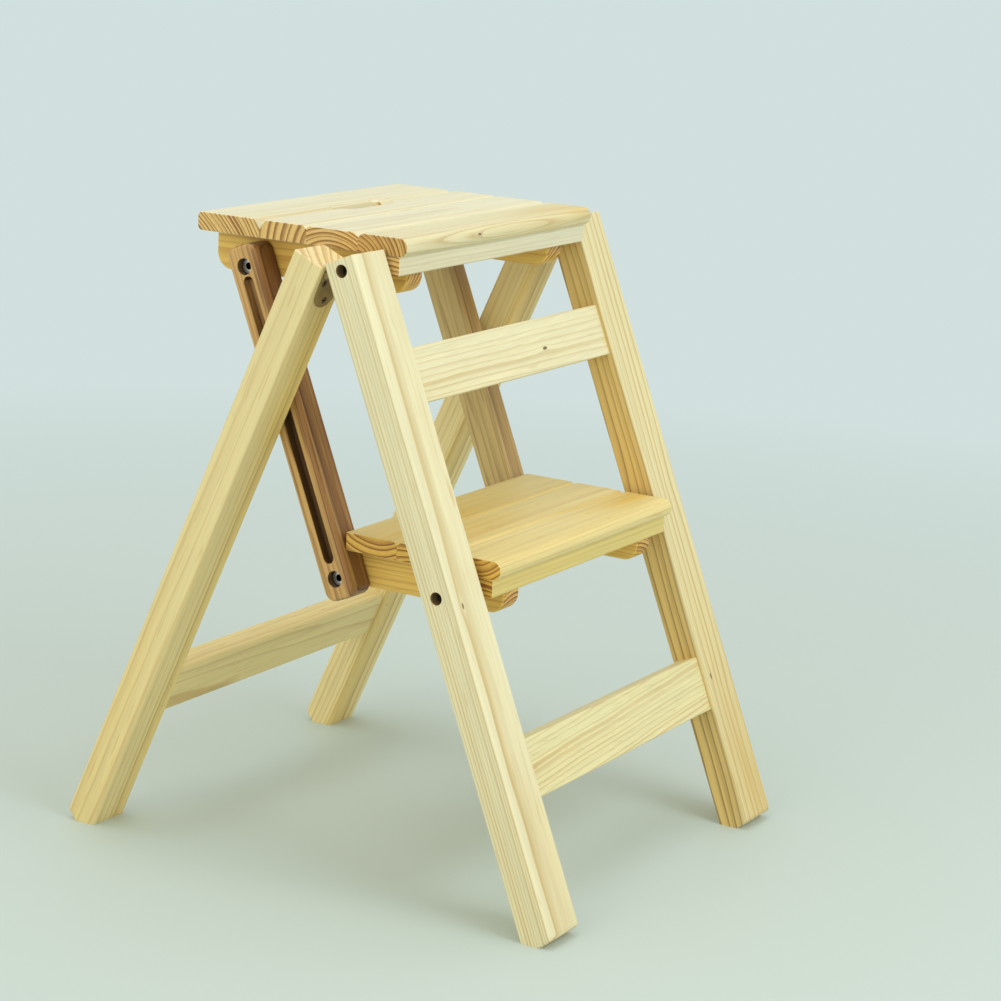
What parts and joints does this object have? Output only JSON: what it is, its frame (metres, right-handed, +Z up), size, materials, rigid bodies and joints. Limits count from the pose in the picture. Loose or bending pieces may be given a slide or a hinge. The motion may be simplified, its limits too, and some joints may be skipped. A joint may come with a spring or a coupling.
{
  "type": "folding step stool chair",
  "caption": "Folding wooden step stool: hinged pine A-frame, boarded seat with a hand hole, lower step, and brown side links that fold seat and step together.",
  "frame": {"origin": "middle of the bounding box at floor level, stool open", "axes": "+X to the right seen from the front, +Y to the back, +Z up"},
  "size_m": [0.386, 0.4692, 0.5195],
  "materials": {
    "pine_frame": "satin lacquer",
    "pine_boards": "satin lacquer",
    "walnut_link": "satin stain",
    "beech_dowel": "raw",
    "bronze_hinge": "antique bronze plating",
    "bright_steel": "bright zinc"
  },
  "bodies": {
    "front_frame": {"front_leg_left": "pine_frame", "front_leg_right": "pine_frame", "upper_front_rail": "pine_frame", "lower_front_rail": "pine_frame", "front_rail_dowels": "beech_dowel", "front_hinge_leaf_left": "bronze_hinge", "front_hinge_leaf_right": "bronze_hinge", "front_hinge_screws": "bronze_hinge", "hinge_pins": "bronze_hinge", "seat_pivot_bolts": "bright_steel", "step_pivot_bolts": "bright_steel", "pivot_spacers": "bright_steel", "pivot_nuts": "bright_steel"},
    "rear_frame": {"rear_leg_left": "pine_frame", "rear_leg_right": "pine_frame", "rear_rail": "pine_frame", "rear_rail_dowels": "beech_dowel", "rear_rail_brads": "bright_steel", "rear_hinge_leaf_left": "bronze_hinge", "rear_hinge_leaf_right": "bronze_hinge", "rear_hinge_screws": "bronze_hinge"},
    "seat": {"seat_board_1": "pine_boards", "seat_board_2": "pine_boards", "seat_board_3": "pine_boards", "seat_board_4": "pine_boards", "seat_lip": "pine_boards", "seat_batten_left": "pine_boards", "seat_batten_right": "pine_boards", "seat_batten_screws": "bright_steel", "upper_link_bolts": "bright_steel", "upper_link_washers": "bright_steel", "upper_link_nuts": "bright_steel"},
    "step": {"step_board_1": "pine_boards", "step_board_2": "pine_boards", "step_board_3": "pine_boards", "step_lip": "pine_boards", "step_batten_left": "pine_boards", "step_batten_right": "pine_boards", "step_batten_screws": "bright_steel", "lower_link_bolts": "bright_steel", "lower_link_washers": "bright_steel", "lower_link_nuts": "bright_steel"},
    "link_left": {"side_link_left": "walnut_link"},
    "link_right": {"side_link_right": "walnut_link"}
  },
  "joints": [
    {"name": "rear_frame_hinge", "type": "hinge", "parent": "front_frame", "child": "rear_frame", "pos_m": [0, -0.00579, 0.49073], "axis": [-1, 0, 0], "range_deg": [0, 45]},
    {"name": "seat_hinge", "type": "hinge", "parent": "front_frame", "child": "seat", "pos_m": [0, -0.02184, 0.4965], "axis": [1, 0, 0], "range_deg": [0, 61]},
    {"name": "step_hinge", "type": "hinge", "parent": "front_frame", "child": "step", "pos_m": [0, -0.1191, 0.257], "axis": [1, 0, 0], "range_deg": [0, 61]},
    {"name": "left_link_hinge", "type": "hinge", "parent": "seat", "child": "link_left", "pos_m": [0, 0.10156, 0.4806], "axis": [1, 0, 0], "range_deg": [-61, 0]},
    {"name": "right_link_hinge", "type": "hinge", "parent": "seat", "child": "link_right", "pos_m": [0, 0.10156, 0.4806], "axis": [1, 0, 0], "range_deg": [-61, 0]}
  ],
  "couplings": [
    {"joint": "step_hinge", "follows": "seat_hinge", "ratio": 1},
    {"joint": "left_link_hinge", "follows": "seat_hinge", "ratio": -1},
    {"joint": "right_link_hinge", "follows": "seat_hinge", "ratio": -1}
  ]
}
